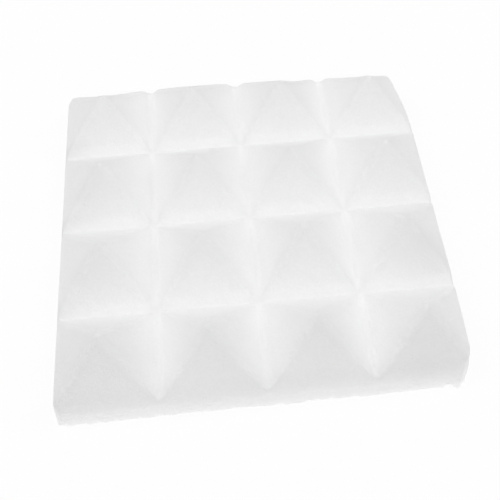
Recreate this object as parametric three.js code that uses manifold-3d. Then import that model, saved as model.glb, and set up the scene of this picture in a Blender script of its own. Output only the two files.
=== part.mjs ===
// Acoustic foam panel: one soft tile with a flat back, plain cut walls and a field of square pyramids.
// The tile is cut twice with the same wavy profile, once along each side.
// The foam that both cuts leave is the field of pyramids, with rounded valleys between them.
// Millimetres, +Z up. The origin is the middle of the flat back.

import * as THREE from 'three';
import { mergeVertices } from 'three/addons/utils/BufferGeometryUtils.js';
import Module from 'manifold-3d';

// The tile
const PANEL_SIDE = 250;
const PANEL_HEIGHT = 50;
const CORNER_RADIUS = 6;
const CORNER_STEPS = 4;

// The pyramids, counted along one side, with their pitch and the foam left under the valleys
const PYRAMIDS_PER_SIDE = 4;
const PYRAMID_PITCH = 63.5;
const VALLEY_HEIGHT = 20;

// How far the walls are cut off the middle of the field, the same along X and Y
const FIELD_SHIFT = 1.5;

// The rounding of the wavy profile
const VALLEY_RADIUS = 5;
const VALLEY_STEPS = 4;
const TIP_RADIUS = 6;
const TIP_STEPS = 4;

// How far a cutting body runs past the tile, so that no cut lies on a wall
const OVERRUN = 5;

const FOAM_COLOUR = 0xeceae6;

// Worked out from the sizes above
const HALF_PITCH = PYRAMID_PITCH / 2;
const HALF_FIELD = (PYRAMIDS_PER_SIDE * PYRAMID_PITCH) / 2;
const FLANK_ANGLE = flankAngle();

// The angle of a flank above the horizontal, for a flank that touches both arcs of the profile.
function flankAngle() {
  const radii = VALLEY_RADIUS + TIP_RADIUS;
  const straightRise = PANEL_HEIGHT - VALLEY_HEIGHT - radii;
  return Math.asin(radii / Math.hypot(HALF_PITCH, straightRise)) + Math.atan2(straightRise, HALF_PITCH);
}

// Points along an arc about a centre. Angles count from straight up, positive towards +X.
function arcPoints(centreX, centreZ, radius, fromAngle, toAngle, steps) {
  const points = [];
  for (let step = 0; step <= steps; step += 1) {
    const angle = fromAngle + ((toAngle - fromAngle) * step) / steps;
    points.push(new THREE.Vector2(centreX + radius * Math.sin(angle), centreZ + radius * Math.cos(angle)));
  }
  return points;
}

// The hollow of a valley, from the flank that falls into it to the flank that climbs out.
function valleyPoints(valleyX) {
  const down = Math.PI;
  const centreZ = VALLEY_HEIGHT + VALLEY_RADIUS;
  return arcPoints(valleyX, centreZ, VALLEY_RADIUS, down + FLANK_ANGLE, down - FLANK_ANGLE, 2 * VALLEY_STEPS);
}

// The blunt tip over the middle of a pyramid.
function tipPoints(tipX) {
  return arcPoints(tipX, PANEL_HEIGHT - TIP_RADIUS, TIP_RADIUS, -FLANK_ANGLE, FLANK_ANGLE, 2 * TIP_STEPS);
}

// The wavy profile: a valley, then a tip and a valley for each pyramid, closed along the flat back.
function wavyProfile() {
  const wave = [...valleyPoints(-HALF_FIELD)];
  for (let pyramid = 0; pyramid < PYRAMIDS_PER_SIDE; pyramid += 1) {
    const tipX = -HALF_FIELD + (pyramid + 0.5) * PYRAMID_PITCH;
    wave.push(...tipPoints(tipX), ...valleyPoints(tipX + HALF_PITCH));
  }
  const left = wave[0].x;
  const right = wave[wave.length - 1].x;
  return new THREE.Shape([new THREE.Vector2(left, 0), ...wave, new THREE.Vector2(right, 0)]);
}

// Ridges that run along Y: the wavy profile drawn out past both walls and stood up on the back.
function ridgesAlongY() {
  const length = PANEL_SIDE + 2 * OVERRUN;
  const ridges = new THREE.ExtrudeGeometry(wavyProfile(), { depth: length, bevelEnabled: false });
  ridges.translate(FIELD_SHIFT, 0, -length / 2);
  ridges.rotateX(Math.PI / 2);
  return ridges;
}

// The upright block that the walls are cut to, with its four corners eased.
function wallBlock() {
  const half = PANEL_SIDE / 2;
  const inner = half - CORNER_RADIUS;
  const plan = new THREE.Shape();
  const corners = [[inner, inner], [-inner, inner], [-inner, -inner], [inner, -inner]];
  corners.forEach(([x, y], index) => {
    const start = (index * Math.PI) / 2;
    plan.absarc(x, y, CORNER_RADIUS, start, start + Math.PI / 2, false);
  });
  plan.closePath();
  const height = PANEL_HEIGHT + OVERRUN;
  return new THREE.ExtrudeGeometry(plan, { depth: height, bevelEnabled: false, curveSegments: CORNER_STEPS });
}

// The solid of a closed mesh, for joining and cutting.
function toSolid(wasm, geometry) {
  const bare = geometry.clone();
  bare.deleteAttribute('normal');
  bare.deleteAttribute('uv');
  const merged = mergeVertices(bare);
  return new wasm.Manifold(new wasm.Mesh({
    numProp: 3,
    vertProperties: new Float32Array(merged.attributes.position.array),
    triVerts: new Uint32Array(merged.index.array),
  }));
}

// The mesh of a solid, with normals for its faces.
function toGeometry(solid) {
  const mesh = solid.getMesh();
  const geometry = new THREE.BufferGeometry();
  geometry.setAttribute('position', new THREE.BufferAttribute(mesh.vertProperties, 3));
  geometry.setIndex(new THREE.BufferAttribute(mesh.triVerts, 1));
  geometry.computeVertexNormals();
  return geometry;
}

// The whole tile: what is left of the block after the profile is cut both ways.
function foamPanel(wasm) {
  const firstCut = ridgesAlongY();
  const secondCut = firstCut.clone().rotateZ(Math.PI / 2);
  const field = toSolid(wasm, firstCut).intersect(toSolid(wasm, secondCut));
  return toGeometry(field.intersect(toSolid(wasm, wallBlock())));
}

const wasm = await Module();
wasm.setup();

const foam = new THREE.MeshStandardMaterial({ color: FOAM_COLOUR, roughness: 1, metalness: 0 });
const panel = new THREE.Mesh(foamPanel(wasm), foam);
panel.name = 'foam_panel';

const assembly = new THREE.Group();
assembly.add(panel);

export default assembly;
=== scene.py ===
"""The looks of an acoustic foam panel: one soft white tile, cut into four by four pyramids.

The tile is built as one closed mesh in the row frame, in metres: a cut face of pyramids, four cut
walls and a flat back. It stands for the plain CAD solid of the same sizes. Cut foam keeps its shape
at rest, so its softness is modelled in the mesh and nothing is simulated.
"""

import logging
import math
from collections.abc import Sequence
from dataclasses import dataclass, field
from enum import Enum

import bpy
import numpy as np
from mathutils import Matrix, Vector


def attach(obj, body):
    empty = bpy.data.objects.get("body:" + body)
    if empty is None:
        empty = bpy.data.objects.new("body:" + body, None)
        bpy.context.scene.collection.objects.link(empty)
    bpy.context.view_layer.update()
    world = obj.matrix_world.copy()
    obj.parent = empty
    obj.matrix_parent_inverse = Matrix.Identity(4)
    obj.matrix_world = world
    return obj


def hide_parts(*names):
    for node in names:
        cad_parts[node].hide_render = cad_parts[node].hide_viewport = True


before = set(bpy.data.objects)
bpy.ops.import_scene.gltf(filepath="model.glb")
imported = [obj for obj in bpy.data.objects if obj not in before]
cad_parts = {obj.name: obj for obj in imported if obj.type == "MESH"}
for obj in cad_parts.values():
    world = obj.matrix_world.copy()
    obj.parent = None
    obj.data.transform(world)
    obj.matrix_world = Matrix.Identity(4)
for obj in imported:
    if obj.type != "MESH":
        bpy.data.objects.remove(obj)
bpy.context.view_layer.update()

Array = np.ndarray
Tree = bpy.types.NodeTree
Socket = bpy.types.NodeSocket
Node = bpy.types.Node
Colour = tuple[float, float, float]
Paint = Colour | Socket

LOG = logging.getLogger("foam_panel_scene")
MM = 0.001
COLOUR_INPUTS = (6, 7)
COLOUR_OUTPUT = 2


class Corner(Enum):
    """The four upright corners of the tile, each with the signs of its X and Y."""

    FAR_RIGHT = (1, 1)
    FAR_LEFT = (-1, 1)
    NEAR_LEFT = (-1, -1)
    NEAR_RIGHT = (1, -1)


class Side(Enum):
    """The four walls of the tile."""

    LEFT = "left"
    RIGHT = "right"
    NEAR = "near"
    FAR = "far"


class Mark(Enum):
    """The names of the values that the mesh keeps at each point for the foam's colour: painted shade
    and painted light.
    """

    PAINTED_SHADE = "shade"
    PAINTED_FLOOR_LIGHT = "painted_floor_light"


def softened(share: Array) -> Array:
    """Return a share from 0 to 1 with a soft start and a soft end."""
    return share * share * (3 - 2 * share)


@dataclass(frozen=True)
class Unevenness:
    """One kind of unevenness that a cut leaves: smooth, repeatable noise on a square lattice.

    Attributes:
        seed: Which noise it follows.
        most: How far it moves the foam at most, either way.
        cell: How far apart its rises and hollows lie.
        lattice: How many cells it has along each axis before it repeats.
    """

    seed: int
    most: float
    cell: float
    lattice: int = 512

    def table(self) -> Array:
        """Return the lattice of random values between -1 and 1."""
        return np.random.default_rng(self.seed).uniform(-1, 1, (self.lattice, self.lattice))

    def at(self, x: Array, y: Array) -> Array:
        """Give how far the foam is moved.

        Args:
            x: First coordinates.
            y: Second coordinates.

        Returns:
            The distance at each pair of coordinates.
        """
        table = self.table()
        across, along = x / self.cell, y / self.cell
        column, row = np.floor(across).astype(int), np.floor(along).astype(int)
        s, t = softened(across - column), softened(along - row)
        c0, c1 = column % self.lattice, (column + 1) % self.lattice
        r0, r1 = row % self.lattice, (row + 1) % self.lattice
        low = table[c0, r0] * (1 - s) + table[c1, r0] * s
        high = table[c0, r1] * (1 - s) + table[c1, r1] * s
        return self.most * (low * (1 - t) + high * t)


@dataclass(frozen=True)
class Shade:
    """How much painted shade the foam gets about one kind of place, fading with the distance from it.

    Attributes:
        most: How grey it is in the place itself.
        reach: How far from there it fades, along X where it is squeezed.
        lift: How far beyond the place it lies along Y.
        squeeze: Its reach along X over its reach along Y.
    """

    most: float
    reach: float
    lift: float = 0.0
    squeeze: float = 1.0

    def at(self, away: Array) -> Array:
        """Return how much painted shade the foam gets at distances from the place."""
        return self.most * np.exp(-((away / self.reach) ** 2))

    def around(self, out: Array, up: Array) -> Array:
        """Return how much painted shade the foam gets at distances from the place along X and along Y.
        """
        return self.at(np.hypot(out, self.squeeze * (up - self.lift)))


@dataclass(frozen=True)
class Bowl:
    """The rounding of a valley, on its low side and on its high side along an axis."""

    low: float
    high: float


@dataclass(frozen=True)
class PyramidField:
    """The wavy profile and the field of pyramids that it leaves when it is cut both ways.

    Attributes:
        pitch: From one valley to the next.
        shift: How far the middle valleys lie off the middle of the tile, along X and Y.
        strays: How far each valley that is cut along X lies from its even place along Y.
        bowl_across: The rounding of the valleys that are cut along Y.
        bowl_along: The rounding of the whole valleys that are cut along X.
        bowl_outer: The rounding of the half valleys at the near and the far wall.
        valley_radius: The rounding that the slope of the flanks is worked out with.
        hip_width: The height over which the two cuts blend, well above the valleys.
        hip_foot_width: The same where the hips run down into the valleys.
        hip_rise: How far above the valleys the hips reach their full width.
        end_rim_cut: The share of the rim's rounding that is missing where a valley meets a wall.
        end_rim_reach: How far to the side of the valley that is felt.
        hip_shade_rise: How soon the painted shade on a hip sets in on its way up from the valleys.
        end_shade: The painted shade where the valleys that are cut along Y end at the near wall.
    """

    pitch: float = 63.5 * MM
    shift: tuple[float, float] = (1.5 * MM, 2.3 * MM)
    strays: tuple[float, float, float] = (-2.2 * MM, 0.0, 1.4 * MM)
    height: float = 50 * MM
    valley_height: float = 20 * MM
    bowl_across: Bowl = Bowl(5 * MM, 5 * MM)
    bowl_along: Bowl = Bowl(3.5 * MM, 17 * MM)
    bowl_outer: Bowl = Bowl(0.8 * MM, 0.8 * MM)
    valley_radius: float = 4 * MM
    tip_radius: float = 1.6 * MM
    hip_width: float = 5 * MM
    hip_foot_width: float = 0.8 * MM
    hip_rise: float = 12 * MM
    end_rim_cut: float = 0.65
    end_rim_reach: float = 8 * MM
    pyramids: int = 4
    # Painted shade on the cut face: the foam is greyed on hips, tips, valley floors, crossings and
    # valley ends, standing in for shade that the lamps don't give.
    hip_shade: Shade = Shade(0.24, 6 * MM)
    hip_shade_rise: float = 1.6
    crown_shade: Shade = Shade(0.1, 7 * MM)
    tip_shade: Shade = Shade(0.2, 2.5 * MM)
    floor_shade: Shade = Shade(0.18, 3 * MM)
    crossing_shade: Shade = Shade(0.3, 5.5 * MM, 3.5 * MM, 0.7)
    end_shade: Shade = Shade(0.38, 7 * MM, 5 * MM, 7 / 5.5)

    def flank_angle(self) -> float:
        """Work out the slope of a flank, which touches both arcs of the profile.

        Returns:
            The angle above the horizontal, in radians.
        """
        radii = self.valley_radius + self.tip_radius
        rise = self.height - self.valley_height - radii
        half = self.pitch / 2
        return math.asin(radii / math.hypot(half, rise)) + math.atan2(rise, half)

    def climb(self, away: Array, radius: float) -> Array:
        """Give the height of the side of a valley.

        Args:
            away: Distances from the middle of the valley, positive up this side.
            radius: The rounding at the foot of this side.

        Returns:
            The heights above the back.
        """
        angle = self.flank_angle()
        root = self.valley_radius * math.tan(angle / 2)
        start = root - radius * math.tan(angle / 2)
        flank = self.valley_height + math.tan(angle) * (away - root)
        within = np.clip(away - start, 0, radius * math.sin(angle))
        arc = self.valley_height + radius - np.sqrt(radius**2 - within**2)
        return np.where(away - start < radius * math.sin(angle), arc, flank)

    def profile(self, away: Array, bowl: Bowl) -> Array:
        """Give the height of the wavy profile.

        Args:
            away: Distances from the nearest valley, up to half a pitch on either side.
            bowl: The rounding of the valleys.

        Returns:
            The heights above the back.
        """
        sides = np.maximum(self.climb(away, bowl.high), self.climb(-away, bowl.low))
        inward = self.pitch / 2 - np.abs(away)
        dome = self.tip_radius**2 - np.minimum(inward, self.tip_radius) ** 2
        tip = self.height - self.tip_radius + np.sqrt(dome)
        return np.where(inward < self.tip_radius * math.sin(self.flank_angle()), tip, sides)

    def from_valleys(self, x: Array, y: Array) -> tuple[Array, Array]:
        """Measure from the nearest valley along each axis.

        Args:
            x: X coordinates.
            y: Y coordinates.

        Returns:
            The distances along X and along Y, less than 0 before the valley.
        """
        across, along = x - self.shift[0], y - self.shift[1]
        moved = along.copy()
        for place, stray in zip((-1, 0, 1), self.strays):
            near = np.clip(np.abs(along / self.pitch - place) * 2, 0, 1)
            moved -= stray * np.cos(near * math.pi / 2) ** 2
        return tuple(v - self.pitch * np.round(v / self.pitch) for v in (across, moved))

    def cuts(self, x: Array, y: Array) -> tuple[Array, Array]:
        """Give the heights that the two cuts leave.

        Args:
            x: X coordinates.
            y: Y coordinates.

        Returns:
            The heights that the cut along Y leaves, and those of the cut along X.
        """
        out, up = self.from_valleys(x, y)
        inner, outer = self.profile(up, self.bowl_along), self.profile(up, self.bowl_outer)
        return self.profile(out, self.bowl_across), np.where(self.is_inner(y), inner, outer)

    def is_inner(self, y: Array) -> Array:
        """Tell which points are nearer to a whole valley than to the half valley at a wall."""
        return np.abs(y - self.shift[1]) < (self.pyramids - 1) / 2 * self.pitch

    def height_at(self, x: Array, y: Array) -> Array:
        """Give the height of the cut face, with hips that are soft above and sharper in the valleys.

        Args:
            x: X coordinates.
            y: Y coordinates.

        Returns:
            The heights above the back.
        """
        one, other = self.cuts(x, y)
        risen = np.clip((np.minimum(one, other) - self.valley_height) / self.hip_rise, 0, 1)
        width = self.hip_foot_width + (self.hip_width - self.hip_foot_width) * risen
        share = np.clip(0.5 + 0.5 * (other - one) / width, 0, 1)
        return other * (1 - share) + one * share - width * share * (1 - share)

    def rim_share(self, x: Array, y: Array) -> Array:
        """Give the share of the rim's rounding, which is less where a valley meets a wall.

        Args:
            x: X coordinates.
            y: Y coordinates.

        Returns:
            The share at each point, up to 1.
        """
        out = self.from_valleys(x, y)[0]
        return 1 - self.end_rim_cut * np.exp(-((out / self.end_rim_reach) ** 2))

    def painted_shade_at(self, x: Array, y: Array) -> Array:
        """Give the painted shade on the foam's tips, hips, valley floors, crossings and valley ends.

        Args:
            x: X coordinates.
            y: Y coordinates.

        Returns:
            1 for the most painted shade and 0 for none.
        """
        out, up = self.from_valleys(x, y)
        one, other = self.cuts(x, y)
        risen = (np.minimum(one, other) - self.valley_height) / (self.height - self.valley_height)
        hip = self.hip_shade.at(one - other) * np.clip(self.hip_shade_rise * risen, 0, 1)
        half = self.pitch / 2
        apart = np.hypot(half - np.abs(out), half - np.abs(up))
        tip = self.crown_shade.at(apart) + self.tip_shade.at(apart)
        floor = self.floor_shade.at(up) + self.crossing_shade.around(out, up)
        end = self.end_shade.around(out, up)
        return np.clip(hip + tip + np.where(self.is_inner(y), floor, end), 0, 1)

    def lines(self, low: float, high: float, shift: float, steps: int) -> Array:
        """Give the grid lines of the face, so that valleys and crests lie on them.

        Args:
            low: Where the first wall stands.
            high: Where the last wall stands.
            shift: How far the middle valley lies off the middle of the tile.
            steps: Steps between a valley and a crest.

        Returns:
            The coordinates from one wall to the other.
        """
        count = 2 * self.pyramids
        turns = [shift + (k - self.pyramids) * self.pitch / 2 for k in range(1, count)]
        stops = [low, *turns, high]
        parts = [np.linspace(a, b, steps + 1)[:-1] for a, b in zip(stops[:-1], stops[1:])]
        return np.append(np.concatenate(parts), high)


@dataclass(frozen=True)
class Wall:
    """One cut wall of the tile.

    Attributes:
        lean: How far its top stands in from its foot.
        rim: Radius of the edge between the wall and the cut face.
        skew: How far its low and its high end stand in from a square tile.
    """

    lean: float
    rim: float
    skew: tuple[float, float] = (0.0, 0.0)


@dataclass(frozen=True)
class Ease:
    """The easing of one upright corner.

    Attributes:
        across: How far it runs along X.
        along: How far it runs along Y.
        foot_share: The share of it that is left at the foot of the walls.
        foot_pull: How far the foot of the corner stands in along X and Y, less than 0 for out.
    """

    across: float
    along: float
    foot_share: float = 1.0
    foot_pull: tuple[float, float] = (0.0, 0.0)


@dataclass(frozen=True)
class TilePlan:
    """The tile seen from above: a square with unevenly eased corners and walls that lean in.

    Attributes:
        half: From the middle of the tile to the foot of each wall.
        inner: How far from the middle the skew of the walls begins.
        pull_reach: How far from a corner its foot_pull is felt.
        rim_blend: How softly the rims of two walls run into each other at a corner.
        rim_falloff: How fast a wall's say over the rim fades with the distance from it.
    """

    half: float = 125 * MM
    inner: float = 98 * MM
    pull_reach: float = 22 * MM
    rim_blend: float = 10 * MM
    rim_falloff: int = 3
    walls: dict[Side, Wall] = field(
        default_factory=lambda: {
            Side.LEFT: Wall(1.2 * MM, 1.6 * MM, (0.4 * MM, -0.4 * MM)),
            Side.RIGHT: Wall(1.2 * MM, 2.2 * MM, (0.2 * MM, -2.2 * MM)),
            Side.NEAR: Wall(1.4 * MM, 8.0 * MM, (-1.2 * MM, 1.3 * MM)),
            Side.FAR: Wall(0.5 * MM, 1.2 * MM),
        }
    )
    eases: dict[Corner, Ease] = field(
        default_factory=lambda: {
            Corner.FAR_RIGHT: Ease(19 * MM, 51 * MM),
            Corner.FAR_LEFT: Ease(5 * MM, 5 * MM),
            Corner.NEAR_LEFT: Ease(5 * MM, 5 * MM, 0.35),
            Corner.NEAR_RIGHT: Ease(13 * MM, 18 * MM, 0.3, (5.2 * MM, -2.1 * MM)),
        }
    )

    def edges(self, level: float) -> dict[Side, float]:
        """Return where the four walls stand at a level: 1 at their top, 0 at their foot."""
        away = {side: self.half - level * wall.lean for side, wall in self.walls.items()}
        return {side: -v if side in (Side.LEFT, Side.NEAR) else v for side, v in away.items()}

    def at_level(self, a: Array, b: Array, level: float) -> tuple[Array, Array]:
        """Carry points of the sharp plan at the top of the walls to another level.

        Args:
            a: X coordinates at the top.
            b: Y coordinates at the top.
            level: 1 at the top of the walls, 0 at their foot.

        Returns:
            The coordinates in the sharp plan of that level.
        """
        top, here = self.edges(1.0), self.edges(level)
        lower = np.interp(a, (top[Side.LEFT], top[Side.RIGHT]), (here[Side.LEFT], here[Side.RIGHT]))
        deeper = np.interp(b, (top[Side.NEAR], top[Side.FAR]), (here[Side.NEAR], here[Side.FAR]))
        return lower, deeper

    def place(self, a: Array, b: Array, level: float) -> tuple[Array, Array]:
        """Move points of a sharp plan into the plan with eased corners and skewed walls.

        Args:
            a: X coordinates in the sharp plan.
            b: Y coordinates in the sharp plan.
            level: 1 at the top of the walls, 0 at their foot.

        Returns:
            The moved X and Y coordinates.
        """
        edges = self.edges(level)
        x, y = a.copy(), b.copy()
        for corner, ease in self.eases.items():
            sx, sy = corner.value
            left = ease.foot_share + (1 - ease.foot_share) * level
            across, along = ease.across * left, ease.along * left
            cx = sx * edges[Side.RIGHT if sx > 0 else Side.LEFT] - across
            cy = sy * edges[Side.FAR if sy > 0 else Side.NEAR] - along
            u, v = (sx * a - cx) / across, (sy * b - cy) / along
            near = (u > 0) & (v > 0)
            pull = np.maximum(u[near], v[near]) / np.hypot(u[near], v[near])
            x[near] = sx * (cx + across * u[near] * pull)
            y[near] = sy * (cy + along * v[near] * pull)
            apart = np.hypot(sx * a - cx - across, sy * b - cy - along)
            close = (1 - level) * np.clip(1 - apart / self.pull_reach, 0, 1) ** 2
            x -= sx * ease.foot_pull[0] * close
            y -= sy * ease.foot_pull[1] * close
        sideways = self.skew_at(x, y, Side.LEFT, Side.RIGHT)
        lengthways = self.skew_at(y, x, Side.NEAR, Side.FAR)
        return x - sideways, y - lengthways

    def skew_at(self, main: Array, other: Array, low: Side, high: Side) -> Array:
        """Give how far two facing walls have shifted the points between them.

        Args:
            main: Coordinates across the two walls.
            other: Coordinates along the two walls.
            low: The wall at the low end of the main axis.
            high: The wall at the high end.

        Returns:
            The shifts along the main axis, 0 in the middle of the tile.
        """
        share = np.clip((np.abs(main) - self.inner) / (self.half - self.inner), 0, 1)
        place = np.clip(0.5 + 0.5 * other / self.half, 0, 1)
        shift = np.zeros_like(main)
        for side, sign in ((low, -1), (high, 1)):
            first, last = self.walls[side].skew
            shift += np.where(sign * main > 0, sign * (first + (last - first) * place), 0)
        return shift * share

    def rim_drop(self, a: Array, b: Array, share: Array) -> Array:
        """Give how far the rounded rim lies below the cut face, with the walls' rims blended.

        Args:
            a: X coordinates in the sharp plan at the top of the walls.
            b: Y coordinates in the sharp plan at the top of the walls.
            share: The share of the rim's radius that each point gets.

        Returns:
            The drop at each point, 0 away from the walls.
        """
        gaps = {
            side: np.abs(edge - (a if side in (Side.LEFT, Side.RIGHT) else b))
            for side, edge in self.edges(1.0).items()
        }
        weights = {side: (gap + self.rim_blend) ** -self.rim_falloff for side, gap in gaps.items()}
        rims = sum(weights[side] * wall.rim for side, wall in self.walls.items())
        rim = rims / sum(weights.values()) * share
        short = np.clip(rim - np.minimum.reduce(list(gaps.values())), 0, rim)
        return rim - np.sqrt(rim**2 - short**2)


@dataclass(frozen=True)
class FoamFinish:
    """White open-cell foam, cut with a wire: matte and finely pored, with painted shade and with
    painted light that pales the foot of the walls.

    Attributes:
        pinhole_scale: Pinholes per metre, and so on for the other scales.
        mottle_detail: Octaves of finer noise in the mottling, and so on for the grain and the cut.
        mottle: The least and the most share of the pore tone that the mottling brings.
        speckle: The same for the grain, cut off at 0.
        pinholes: The share of the pinhole tone in the middle of a cell, and its fall across the cell.
        roughness: The least and the most roughness.
        noise_roughness: How strong the finer octaves of the noise are.
        pore_bump: Strength and height of the pores' bump.
        cut_bump: Strength and height of the uneven cut's bump.
    """

    name: str = "white_foam"
    unshaded_tone: Colour = (0.93, 0.93, 0.93)
    painted_shade_tone: Colour = (0.80, 0.80, 0.80)
    pore_tone: Colour = (0.80, 0.80, 0.80)
    # Painted light: the paler tone for the foot of the walls, standing in for light from the floor.
    floor_light_tone: Colour = (0.98, 0.98, 0.98)
    pinhole_tone: Colour = (0.84, 0.84, 0.84)
    pinhole_scale: float = 30.0
    mottle_scale: float = 28.0
    grain_scale: float = 620.0
    pore_scale: float = 950.0
    mottle_detail: float = 3.0
    grain_detail: float = 2.0
    cut_detail: float = 3.0
    specular: float = 0.12
    mottle: tuple[float, float] = (0.0, 0.12)
    speckle: tuple[float, float] = (-0.15, 0.35)
    pinholes: tuple[float, float] = (1.0, -30.0)
    roughness: tuple[float, float] = (0.88, 1.0)
    noise_roughness: float = 0.6
    pore_bump: tuple[float, float] = (0.35, 0.3 * MM)
    cut_bump: tuple[float, float] = (0.4, 0.6 * MM)

    def texture(self, tree: Tree, kind: str, scale: float) -> Node:
        """Add a texture in the object's own metres.

        Args:
            tree: The node tree of the material.
            kind: The type of the texture node.
            scale: Features per metre.

        Returns:
            The texture node.
        """
        place = tree.nodes.new("ShaderNodeTexCoord")
        texture = tree.nodes.new(kind)
        texture.inputs["Scale"].default_value = scale
        tree.links.new(place.outputs["Object"], texture.inputs["Vector"])
        return texture

    def noise(self, tree: Tree, scale: float, detail: float) -> Socket:
        """Add soft noise.

        Args:
            tree: The node tree of the material.
            scale: Features per metre.
            detail: Octaves of finer noise.

        Returns:
            The socket of the noise.
        """
        texture = self.texture(tree, "ShaderNodeTexNoise", scale)
        texture.inputs["Detail"].default_value = detail
        texture.inputs["Roughness"].default_value = self.noise_roughness
        return texture.outputs["Fac"]

    def cells(self, tree: Tree, scale: float) -> Socket:
        """Add cells, and return the socket of the distance from the middle of each."""
        return self.texture(tree, "ShaderNodeTexVoronoi", scale).outputs["Distance"]

    def mark(self, tree: Tree, mark: Mark) -> Socket:
        """Read a value that the mesh keeps at its points.

        Args:
            tree: The node tree of the material.
            mark: Which value.

        Returns:
            The socket of the value.
        """
        kept = tree.nodes.new("ShaderNodeAttribute")
        kept.attribute_name = mark.value
        return kept.outputs["Fac"]

    def spread(self, tree: Tree, value: Socket, ends: tuple[float, float]) -> Socket:
        """Stretch a 0 to 1 value to another range.

        Args:
            tree: The node tree of the material.
            value: The socket that gives the value.
            ends: What 0 and 1 become.

        Returns:
            The socket of the stretched value.
        """
        stretch = tree.nodes.new("ShaderNodeMapRange")
        stretch.inputs["To Min"].default_value, stretch.inputs["To Max"].default_value = ends
        tree.links.new(value, stretch.inputs["Value"])
        return stretch.outputs["Result"]

    def mixed(self, tree: Tree, share: Socket, first: Paint, second: Paint) -> Socket:
        """Mix two colours.

        Args:
            tree: The node tree of the material.
            share: The socket that gives the share of the second colour.
            first: A colour, or a socket that gives one.
            second: A colour, or a socket that gives one.

        Returns:
            The socket of the mixed colour.
        """
        mix = tree.nodes.new("ShaderNodeMix")
        mix.data_type = "RGBA"
        tree.links.new(share, mix.inputs["Factor"])
        for slot, paint in zip(COLOUR_INPUTS, (first, second)):
            if isinstance(paint, Socket):
                tree.links.new(paint, mix.inputs[slot])
            else:
                mix.inputs[slot].default_value = (*paint, 1)
        return mix.outputs[COLOUR_OUTPUT]

    def colour(self, tree: Tree) -> Socket:
        """Build the colour: unshaded foam, painted shade, mottling, grain, pinholes and painted light
        at the foot of the walls.

        Args:
            tree: The node tree of the material.

        Returns:
            The socket of the colour.
        """
        # Painted shade: the mesh's shade mark greys the foam's own tone.
        base = self.mixed(tree, self.mark(tree, Mark.PAINTED_SHADE), self.unshaded_tone, self.painted_shade_tone)
        mottle = self.noise(tree, self.mottle_scale, self.mottle_detail)
        soft = self.mixed(tree, self.spread(tree, mottle, self.mottle), base, self.pore_tone)
        grain = self.noise(tree, self.grain_scale, self.grain_detail)
        grained = self.mixed(tree, self.spread(tree, grain, self.speckle), soft, self.pore_tone)
        hole = self.spread(tree, self.cells(tree, self.pinhole_scale), self.pinholes)
        holed = self.mixed(tree, hole, grained, self.pinhole_tone)
        # Painted light: the foot of the walls is paled.
        return self.mixed(tree, self.mark(tree, Mark.PAINTED_FLOOR_LIGHT), holed, self.floor_light_tone)

    def bump(self, tree: Tree) -> Socket:
        """Build the bump: open pores under a soft uneven cut.

        Args:
            tree: The node tree of the material.

        Returns:
            The socket of the bumped normal.
        """
        pores, cut = (tree.nodes.new("ShaderNodeBump") for _ in range(2))
        pitted = self.cells(tree, self.pore_scale)
        uneven = self.noise(tree, self.grain_scale, self.cut_detail)
        for node, height, size in ((pores, pitted, self.pore_bump), (cut, uneven, self.cut_bump)):
            node.inputs["Strength"].default_value, node.inputs["Distance"].default_value = size
            tree.links.new(height, node.inputs["Height"])
        tree.links.new(pores.outputs["Normal"], cut.inputs["Normal"])
        return cut.outputs["Normal"]

    def material(self) -> bpy.types.Material:
        """Build the whole material.

        Returns:
            The material.
        """
        material = bpy.data.materials.new(self.name)
        material.use_nodes = True
        tree = material.node_tree
        shader = tree.nodes["Principled BSDF"]
        shader.inputs["Specular IOR Level"].default_value = self.specular
        tree.links.new(self.colour(tree), shader.inputs["Base Color"])
        grain = self.noise(tree, self.grain_scale, self.grain_detail)
        tree.links.new(self.spread(tree, grain, self.roughness), shader.inputs["Roughness"])
        tree.links.new(self.bump(tree), shader.inputs["Normal"])
        return material


@dataclass(frozen=True)
class Nick:
    """A small bite torn out of the foot of the near wall.

    Attributes:
        x: Where its middle lies.
        width: How far it runs to either side.
        depth: How far it goes in.
        reach: How far it goes up the wall.
        strip: How near to the wall the rim has to be for the bite to lie under it.
    """

    x: float = 110 * MM
    width: float = 4.6 * MM
    depth: float = 3.0 * MM
    reach: float = 3.5 * MM
    strip: float = 6 * MM


@dataclass(frozen=True)
class Patch:
    """An oval place on the cut face where something is a little different, with a soft border.

    Attributes:
        place: Its middle, along X and Y.
        reach: How far it runs from its middle, along X and Y.
        most: How strong it is in its middle.
    """

    place: tuple[float, float]
    reach: tuple[float, float]
    most: float

    def at(self, x: Array, y: Array) -> Array:
        """Give how strong the patch is.

        Args:
            x: X coordinates.
            y: Y coordinates.

        Returns:
            The strength at each point, 0 beyond its reach.
        """
        away = np.hypot((x - self.place[0]) / self.reach[0], (y - self.place[1]) / self.reach[1])
        return self.most * softened(np.clip(1 - away, 0, 1))


def patches(*rows: tuple[float, float, float, float, float]) -> tuple[Patch, ...]:
    """Return patches, each from its place and its reach in millimetres and its strength."""
    return tuple(Patch((x * MM, y * MM), (out * MM, up * MM), most) for x, y, out, up, most in rows)


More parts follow.
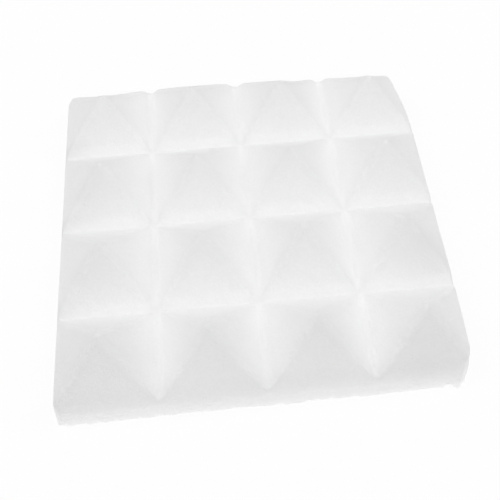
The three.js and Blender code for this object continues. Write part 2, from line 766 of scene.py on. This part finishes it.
@dataclass
class FoamTile:
    """The tile: a cut face of pyramids, four cut walls and a flat back, in one closed mesh.

    Attributes:
        swells: Where the cut face lies higher, or lower where the patch is less than 0.
        painted_shade_patches: Where the foam is greyed with painted shade, where the lamps fall short.
        steps: Cells of the cut face from a valley to a crest.
        wall_rows: Rows of cells down the walls.
        foot_radius: The rounding of the edge between the walls and the back.
        back_rings: Where the rings of the back lie, as shares of the way out from its middle.
        face_wave: The slow unevenness of the cut face.
        face_tear: The fine unevenness of the cut face.
        wall_wave: The slow unevenness of the walls, most at their foot.
        wall_tear: The fine unevenness of the walls.
        foot_rag: The torn foot of the walls.
        rag_power: How closely the rag keeps to the foot.
        wall_drop: How far the rim has dropped where it counts wholly as wall.
        patch_shade_top: Where the painted shade of the patches begins to fade on the walls.
        patch_shade_fade: How far below that they are gone.
        floor_light_height: How far up the walls the painted light from the floor reaches.
        floor_light_power: How closely the painted light keeps to the floor.
    """

    name: str = "foam_tile"
    shape: PyramidField = field(default_factory=PyramidField)
    plan: TilePlan = field(default_factory=TilePlan)
    finish: FoamFinish = field(default_factory=FoamFinish)
    nick: Nick = field(default_factory=Nick)
    swells: tuple[Patch, ...] = patches(
        (125, 125, 75, 75, -3.6 * MM),
        (-35, 126, 90, 26, 2.2 * MM),
        (125, -125, 50, 50, -2.5 * MM),
        (-94, 112, 34, 34, -1.8 * MM),
        (46, 112, 24, 34, -2.0 * MM),
        (90, 112, 28, 34, -1.2 * MM),
        (-62, -134, 20, 28, -4.2 * MM),
        (1.5, -134, 20, 28, -4.0 * MM),
        (65, -134, 20, 28, -4.0 * MM),
    )
    # Painted shade: soft grey patches where the lamps fall short.
    painted_shade_patches: tuple[Patch, ...] = patches(
        (99, -118, 42, 33, 0.48),
        (-120, -110, 62, 60, 0.4),
        (-120, -60, 26, 9, 0.3),
        (-120, 6, 26, 9, 0.4),
        (-120, 71, 26, 9, 0.4),
        (108, -45, 34, 26, 0.48),
        (-100, -44, 24, 20, 0.3),
        (-104, 20, 22, 20, 0.25),
        (38, -104, 26, 26, 0.22),
        (-76, -100, 24, 28, 0.25),
        (-20, -106, 38, 30, 0.16),
        (-62, 20, 12, 150, 0.17),
        (1.5, 20, 12, 130, 0.09),
    )
    steps: int = 34
    wall_rows: int = 16
    foot_radius: float = 0.3 * MM
    back_rings: tuple[float, ...] = (0.985, 0.95, 0.8, 0.55, 0.3)
    face_wave: Unevenness = Unevenness(3, 0.25 * MM, 26 * MM)
    face_tear: Unevenness = Unevenness(5, 0.12 * MM, 3.2 * MM)
    wall_tear: Unevenness = Unevenness(11, 0.192 * MM, 3.0 * MM)
    wall_wave: Unevenness = Unevenness(13, 0.25 * MM, 30 * MM)
    foot_rag: Unevenness = Unevenness(17, 0.45 * MM, 4.5 * MM)
    rag_power: int = 6
    wall_drop: float = 2 * MM
    patch_shade_top: float = 26 * MM
    patch_shade_fade: float = 20 * MM
    floor_light_height: float = 7 * MM
    floor_light_power: float = 1.5

    def face_points(self) -> tuple[Array, Array, Array, Array]:
        """Build the grid of the cut face.

        Returns:
            Its points, the indices of its rim, the rim's sharp plan, and how much each point is wall.
        """
        edges = self.plan.edges(1.0)
        across = self.shape.lines(edges[Side.LEFT], edges[Side.RIGHT], self.shape.shift[0], self.steps)
        along = self.shape.lines(edges[Side.NEAR], edges[Side.FAR], self.shape.shift[1], self.steps)
        a, b = np.meshgrid(across, along, indexing="ij")
        x, y = self.plan.place(a, b, 1.0)
        z = self.shape.height_at(x, y)
        z += self.face_wave.at(x, y)
        z += self.face_tear.at(x, y)
        z += sum(swell.at(x, y) for swell in self.swells)
        drop = self.plan.rim_drop(a, b, self.shape.rim_share(x, y))
        z -= drop
        points = np.stack([x, y, z], -1).reshape(-1, 3)
        index = np.arange(len(points)).reshape(a.shape)
        rim = np.concatenate([index[:, 0], index[-1, 1:], index[-2::-1, -1], index[0, -2:0:-1]])
        sharp = np.stack([a, b], -1).reshape(-1, 2)[rim]
        return points, rim, sharp, np.clip(drop.ravel() / self.wall_drop, 0, 1)

    def wall_rings(self, top: Array, sharp: Array) -> list[Array]:
        """Build the rings of points down the walls.

        Args:
            top: The points of the rim.
            sharp: Their X and Y coordinates in the sharp plan.

        Returns:
            The rings below the rim, from the highest to the lowest.
        """
        out = self.outward(top)
        along = np.cumsum(np.linalg.norm(np.diff(top[:, :2], axis=0, prepend=top[:1, :2]), axis=1))
        rings = []
        for share in np.linspace(0, 1, self.wall_rows + 1)[1:]:
            level = 1 - share
            ring = top * (1, 1, level)
            ring[:, :2] = np.stack(self.plan.place(*self.plan.at_level(*sharp.T, level), level), -1)
            rough = self.wall_tear.at(along, ring[:, 2])
            slow = share * self.wall_wave.at(along, ring[:, 2])
            torn = share**self.rag_power * self.foot_rag.at(along, np.zeros_like(along))
            lift = np.clip(1 - ring[:, 2] / self.nick.reach, 0, 1)
            bite = self.nick.depth * lift * self.bite(top)
            under = np.clip(self.foot_radius - ring[:, 2], 0, self.foot_radius)
            ease = self.foot_radius - np.sqrt(self.foot_radius**2 - under**2)
            ring[:, :2] += out * (rough + slow + torn - bite - ease)[:, None]
            rings.append(ring)
        return rings

    def outward(self, ring: Array) -> Array:
        """Find the way out of the tile along a ring.

        Args:
            ring: The points of a closed ring, anticlockwise from above.

        Returns:
            A direction of length 1 at each point, along X and Y.
        """
        ahead = np.roll(ring, -1, 0)[:, :2] - np.roll(ring, 1, 0)[:, :2]
        normal = np.stack([ahead[:, 1], -ahead[:, 0]], -1)
        return normal / np.linalg.norm(normal, axis=1, keepdims=True)

    def bite(self, top: Array) -> Array:
        """Find what stands over the nick.

        Args:
            top: The points of the rim.

        Returns:
            How much of the nick is under each point, from 0 to 1.
        """
        near = top[:, 1] < self.plan.edges(1.0)[Side.NEAR] + self.nick.strip
        across = np.clip(1 - np.abs(top[:, 0] - self.nick.x) / self.nick.width, 0, 1)
        return near * softened(across)

    def mesh(self) -> bpy.types.Mesh:
        """Build the closed mesh of the tile: the cut face, the walls and the back.

        Returns:
            The mesh, with the marks that the foam's colour follows.
        """
        face, rim, sharp, cut = self.face_points()
        count = len(face)
        side = int(round(math.sqrt(count)))
        index = np.arange(count).reshape(side, side)
        quads = np.stack([index[:-1, :-1], index[1:, :-1], index[1:, 1:], index[:-1, 1:]], -1)
        faces = [quads.reshape(-1, 4)]
        points = [face]
        rings = self.wall_rings(face[rim], sharp)
        foot = rings[-1]
        first_foot = count + (len(rings) - 1) * len(foot)
        for share in self.back_rings:
            inner = foot.copy()
            inner[:, :2] *= share
            rings.append(inner)
        above = rim
        for ring in rings:
            below = np.arange(count, count + len(ring))
            count += len(ring)
            points.append(ring)
            faces.append(np.stack([above, below, np.roll(below, -1), np.roll(above, -1)], -1))
            above = below
        points.append(np.zeros((1, 3)))
        fan = [(int(p), count, int(q)) for p, q in zip(above, np.roll(above, -1))]
        mesh = bpy.data.meshes.new(self.name)
        cells = np.concatenate(faces).tolist() + fan
        mesh.from_pydata(np.concatenate(points).tolist(), [], cells)
        mesh.polygons.foreach_set("use_smooth", [True] * len(mesh.polygons))
        self.sharpen(mesh, range(first_foot, first_foot + len(foot)))
        self.keep_marks(mesh, np.append(cut, np.ones(len(mesh.vertices) - len(cut))))
        mesh.update()
        return mesh

    def sharpen(self, mesh: bpy.types.Mesh, ring: range) -> None:
        """Keep the edge between the walls and the back crisp.

        Args:
            mesh: The mesh of the tile.
            ring: The indices of the points along the foot of the walls.
        """
        ends = np.empty(len(mesh.edges) * 2, dtype=int)
        mesh.edges.foreach_get("vertices", ends)
        crisp = ((ends >= ring.start) & (ends < ring.stop)).reshape(-1, 2).all(axis=1)
        mesh.edges.foreach_set("use_edge_sharp", crisp)

    def keep_marks(self, mesh: bpy.types.Mesh, wall: Array) -> None:
        """Store the values that the foam's colour follows: painted shade and painted light.

        Args:
            mesh: The mesh of the tile.
            wall: How much each point belongs to the walls, from 0 to 1.
        """
        place = np.empty(len(mesh.vertices) * 3)
        mesh.vertices.foreach_get("co", place)
        x, y, z = place.reshape(-1, 3).T
        # Painted shade from the patches, fading out down the walls.
        faded = wall * np.clip((self.patch_shade_top - z) / self.patch_shade_fade, 0, 1)
        patch_shade = sum(patch.at(x, y) for patch in self.painted_shade_patches) * (1 - faded)
        # Painted shade on tips, hips, valley floors, crossings and valley ends, kept off the walls.
        shade = self.shape.painted_shade_at(x, y) * (1 - wall) + patch_shade
        # Painted light: paler towards the foot of the walls, for the floor's light.
        painted_floor_light = np.clip(1 - z / self.floor_light_height, 0, 1) ** self.floor_light_power
        for mark, values in ((Mark.PAINTED_SHADE, shade), (Mark.PAINTED_FLOOR_LIGHT, painted_floor_light)):
            kept = mesh.attributes.new(mark.value, "FLOAT", "POINT")
            kept.data.foreach_set("value", values.astype(np.float32))

    def build(self) -> bpy.types.Object:
        """Build and dress the tile, and put it in place of its CAD node.

        Returns:
            The tile.
        """
        tile = bpy.data.objects.new(self.name, self.mesh())
        bpy.context.scene.collection.objects.link(tile)
        tile.data.materials.append(self.finish.material())
        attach(tile, "root")
        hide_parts("foam_panel")
        return tile


def seen_white(tree: Tree) -> Socket:
    """Tell the rays that should find plain white from those that light the tile.

    Args:
        tree: The node tree of the floor or the world.

    Returns:
        A socket that gives 1 to camera, mirror and see-through rays, and 0 to the rest.
    """
    ray = tree.nodes.new("ShaderNodeLightPath")
    shown = ray.outputs["Is Camera Ray"]
    for way in ("Is Glossy Ray", "Is Transmission Ray"):
        either = tree.nodes.new("ShaderNodeMath")
        either.operation = "MAXIMUM"
        tree.links.new(shown, either.inputs[0])
        tree.links.new(ray.outputs[way], either.inputs[1])
        shown = either.outputs[0]
    return shown


def blended(tree: Tree, share: Socket, first: Node, second: Node) -> Node:
    """Mix two shaders.

    Args:
        tree: The node tree of the floor or the world.
        share: The socket that gives the share of the second shader.
        first: The node of a shader.
        second: The node of a shader.

    Returns:
        The node of the mixed shader.
    """
    mix = tree.nodes.new("ShaderNodeMixShader")
    for socket, slot in zip((share, first.outputs[0], second.outputs[0]), mix.inputs):
        tree.links.new(socket, slot)
    return mix


@dataclass(frozen=True)
class FloorFinish:
    """Plain pale paper, which shows white to the camera and keeps a faint shadow.

    Attributes:
        tone: Its own colour, which the tile's walls are lit by.
        seen_tone: The colour that takes the shadow where the paper is seen.
        shadow_share: How much of what is seen takes the shadow, under the tile.
        shadow_reach: How far from there that share fades to nothing.
    """

    name: str = "white_paper"
    tone: Colour = (0.65, 0.65, 0.65)
    seen_tone: Colour = (0.95, 0.95, 0.95)
    shadow_share: float = 0.16
    shadow_reach: float = 0.7

    def shadow(self, tree: Tree) -> Socket:
        """Build the share that takes the shadow, most under the tile and none far from it.

        Args:
            tree: The node tree of the material.

        Returns:
            The socket of the share.
        """
        place = tree.nodes.new("ShaderNodeTexCoord")
        scaled = tree.nodes.new("ShaderNodeMapping")
        scaled.inputs["Scale"].default_value = (1 / self.shadow_reach,) * 3
        fade = tree.nodes.new("ShaderNodeTexGradient")
        fade.gradient_type = "SPHERICAL"
        share = tree.nodes.new("ShaderNodeMath")
        share.operation = "MULTIPLY"
        share.inputs[1].default_value = self.shadow_share
        tree.links.new(place.outputs["Object"], scaled.inputs["Vector"])
        tree.links.new(scaled.outputs["Vector"], fade.inputs["Vector"])
        tree.links.new(fade.outputs["Fac"], share.inputs[0])
        return share.outputs[0]

    def material(self) -> bpy.types.Material:
        """Build the whole material.

        Returns:
            The material.
        """
        material = bpy.data.materials.new(self.name)
        material.use_nodes = True
        tree = material.node_tree
        tree.nodes.clear()
        end = tree.nodes.new("ShaderNodeOutputMaterial")
        paper = tree.nodes.new("ShaderNodeBsdfDiffuse")
        paper.inputs["Color"].default_value = (*self.tone, 1)
        shadowed = tree.nodes.new("ShaderNodeBsdfDiffuse")
        shadowed.inputs["Color"].default_value = (*self.seen_tone, 1)
        white = tree.nodes.new("ShaderNodeEmission")
        seen = blended(tree, self.shadow(tree), white, shadowed)
        choice = blended(tree, seen_white(tree), paper, seen)
        tree.links.new(choice.outputs[0], end.inputs["Surface"])
        return material


@dataclass
class StudioFloor:
    """The plain pale floor that the tile lies on.

    Attributes:
        reach: How far it runs to each side.
        drop: How far it lies below the back of the tile.
    """

    name: str = "studio_floor"
    reach: float = 3.0
    drop: float = 0.2 * MM
    finish: FloorFinish = field(default_factory=FloorFinish)

    def build(self) -> bpy.types.Object:
        """Build the floor.

        Returns:
            The floor.
        """
        r, z = self.reach, -self.drop
        mesh = bpy.data.meshes.new(self.name)
        mesh.from_pydata([(-r, -r, z), (r, -r, z), (r, r, z), (-r, r, z)], [], [(0, 1, 2, 3)])
        floor = bpy.data.objects.new(self.name, mesh)
        bpy.context.scene.collection.objects.link(floor)
        mesh.materials.append(self.finish.material())
        return floor


@dataclass(frozen=True)
class SoftLight:
    """One soft square light that faces the tile."""

    name: str
    place: tuple[float, float, float]
    side: float
    watts: float

    def build(self) -> bpy.types.Object:
        """Build the light and point it at the tile.

        Returns:
            The light.
        """
        lamp = bpy.data.lights.new(self.name, "AREA")
        lamp.size = self.side
        lamp.energy = self.watts
        light = bpy.data.objects.new(self.name, lamp)
        bpy.context.scene.collection.objects.link(light)
        light.location = self.place
        light.rotation_mode = "QUATERNION"
        light.rotation_quaternion = Vector(self.place).to_track_quat("Z", "Y")
        return light


@dataclass(frozen=True)
class FloorStrips:
    """Four narrow lights that lie face up on the floor, one along each wall, unseen by the camera.

    They stand for the bright table under the tile, which lights the foot of its walls.

    Attributes:
        away: How far each lies from the middle of the tile.
        size: Its length and its width.
        watts: The power of each.
        level: Their height, just above the floor and below the tile.
    """

    name: str
    away: float
    size: tuple[float, float]
    watts: float
    level: float = -0.1 * MM

    def build(self) -> list[bpy.types.Object]:
        """Build the four lights.

        Returns:
            The lights, from the near wall round to the left one.
        """
        strips = []
        for turn in range(4):
            lamp = bpy.data.lights.new(f"{self.name}_{turn + 1}", "AREA")
            lamp.shape = "RECTANGLE"
            lamp.size, lamp.size_y = self.size
            lamp.energy = self.watts
            strip = bpy.data.objects.new(lamp.name, lamp)
            bpy.context.scene.collection.objects.link(strip)
            angle = turn * math.pi / 2
            across, along = self.away * math.sin(angle), -self.away * math.cos(angle)
            strip.location = (across, along, self.level)
            strip.rotation_euler = (math.pi, 0, angle)
            strip.visible_camera = False
            strips.append(strip)
        return strips


@dataclass
class Studio:
    """The even light of a plain white studio: soft lights, strips and the room's own glow.

    Attributes:
        glow: How strong the light of the room itself is.
    """

    glow: float = 0.422
    lights: tuple[SoftLight, ...] = (
        SoftLight("far_light", (0.0, 0.996, 0.836), 0.9, 1.88),
        SoftLight("near_light", (0.0, -0.996, 0.836), 0.9, 1.86),
        SoftLight("right_light", (0.836, 0.0, 0.996), 0.9, 5.33),
        SoftLight("left_light", (-0.836, 0.0, 0.996), 0.9, 5.26),
    )
    strips: tuple[FloorStrips, ...] = (
        FloorStrips("inner_strip", 0.129, (0.26, 0.019), 0.0097),
        FloorStrips("outer_strip", 0.153, (0.3, 0.026), 0.0246),
    )

    def build(self) -> list[bpy.types.Object]:
        """Build the room's glow and its lights.

        Returns:
            The lights.
        """
        world = bpy.data.worlds.new("studio_glow")
        world.use_nodes = True
        shade = world.node_tree.nodes["Background"]
        shade.inputs["Color"].default_value = (1, 1, 1, 1)
        shade.inputs["Strength"].default_value = self.glow
        self.whiten(world.node_tree, shade)
        bpy.context.scene.world = world
        built = [light.build() for light in self.lights]
        for strips in self.strips:
            built += strips.build()
        return built

    def whiten(self, tree: Tree, shade: Node) -> None:
        """Show the room as white to the camera, without more light on the tile.

        Args:
            tree: The node tree of the world.
            shade: The node that lights the tile.
        """
        white = tree.nodes.new("ShaderNodeBackground")
        white.inputs["Color"].default_value = (1, 1, 1, 1)
        choice = blended(tree, seen_white(tree), shade, white)
        tree.links.new(choice.outputs[0], tree.nodes["World Output"].inputs["Surface"])


@dataclass(frozen=True)
class PhotographCamera:
    """The camera at the photograph's viewing angle, aimed near the middle of the tile's back.

    Attributes:
        azimuth: The angle from the front, in degrees, towards the right wall.
        elevation: The angle above the floor, in degrees.
        roll: The turn about the line of sight, in degrees.
        distance: How far the camera stands from its target.
        target: Where it aims, on the level of the back.
        focal_over_width: The focal length over the width of the picture.
        sensor: The width of the camera's sensor, in millimetres.
        clip_start: How near to the camera a thing is still seen.
    """

    azimuth: float = -3.24
    elevation: float = 55.76
    roll: float = -2.29
    distance: float = 529.7 * MM
    target: tuple[float, float] = (0.29 * MM, -11.35 * MM)
    focal_over_width: float = 776.5 / 500
    sensor: float = 36.0
    clip_start: float = 0.01

    def axes(self) -> tuple[Vector, Vector, Vector]:
        """Work out how the camera is turned.

        Returns:
            Its right, up and backward directions.
        """
        az, el, roll = (math.radians(v) for v in (self.azimuth, self.elevation, self.roll))
        back = Vector((math.sin(az) * math.cos(el), -math.cos(az) * math.cos(el), math.sin(el)))
        right = (-back).cross(Vector((0, 0, 1))).normalized()
        up = right.cross(-back)
        c, s = math.cos(roll), math.sin(roll)
        return c * right + s * up, c * up - s * right, back

    def build(self) -> bpy.types.Object:
        """Build the camera and make it the scene's own.

        Returns:
            The camera.
        """
        right, up, back = self.axes()
        lens = bpy.data.cameras.new("photograph_camera")
        lens.sensor_width = self.sensor
        lens.lens = self.focal_over_width * self.sensor
        lens.clip_start = self.clip_start
        camera = bpy.data.objects.new("photograph_camera", lens)
        bpy.context.scene.collection.objects.link(camera)
        pose = Matrix((right, up, back)).transposed().to_4x4()
        pose.translation = Vector((*self.target, 0)) + back * self.distance
        camera.matrix_world = pose
        bpy.context.scene.camera = camera
        return camera


def main() -> None:
    """Build the camera, the tile, the floor and the lights, and report them."""
    logging.basicConfig(level=logging.INFO, format="%(name)s: %(message)s")
    bpy.context.scene.view_settings.view_transform = "Standard"
    pieces = [PhotographCamera().build(), FoamTile().build(), StudioFloor().build()]
    pieces += Studio().build()
    bpy.context.view_layer.update()
    for piece in pieces:
        size, place = piece.dimensions, piece.matrix_world.translation
        LOG.info("%s: %.3f x %.3f x %.3f m, at %.3f, %.3f, %.3f m", piece.name, *size, *place)
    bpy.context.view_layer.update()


if __name__ == "__main__":
    main()
